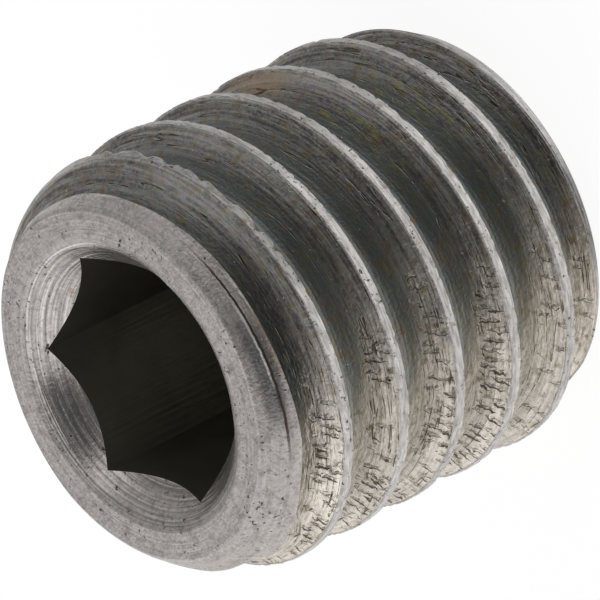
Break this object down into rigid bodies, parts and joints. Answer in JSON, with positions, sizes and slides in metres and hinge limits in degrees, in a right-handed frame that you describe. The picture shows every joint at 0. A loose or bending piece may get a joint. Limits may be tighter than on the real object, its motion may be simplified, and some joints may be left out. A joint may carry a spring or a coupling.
{
  "type": "orifice restrictor screw",
  "caption": "Headless set screw with a countersunk hex socket in one face, a right-hand thread over its whole length and a small metering hole through the flat point.",
  "frame": {"origin": "centre of the flat point, on the screw's axis", "axes": "+Z along the axis from the flat point to the socket, +X through a corner of the hexagon"},
  "size_m": [0.0058, 0.0058, 0.0059],
  "materials": {
    "steel": "bare turned steel, thread dark and torn, faces with fine turning rings"
  },
  "bodies": {
    "root": {"restrictor_screw": "steel"}
  },
  "joints": []
}
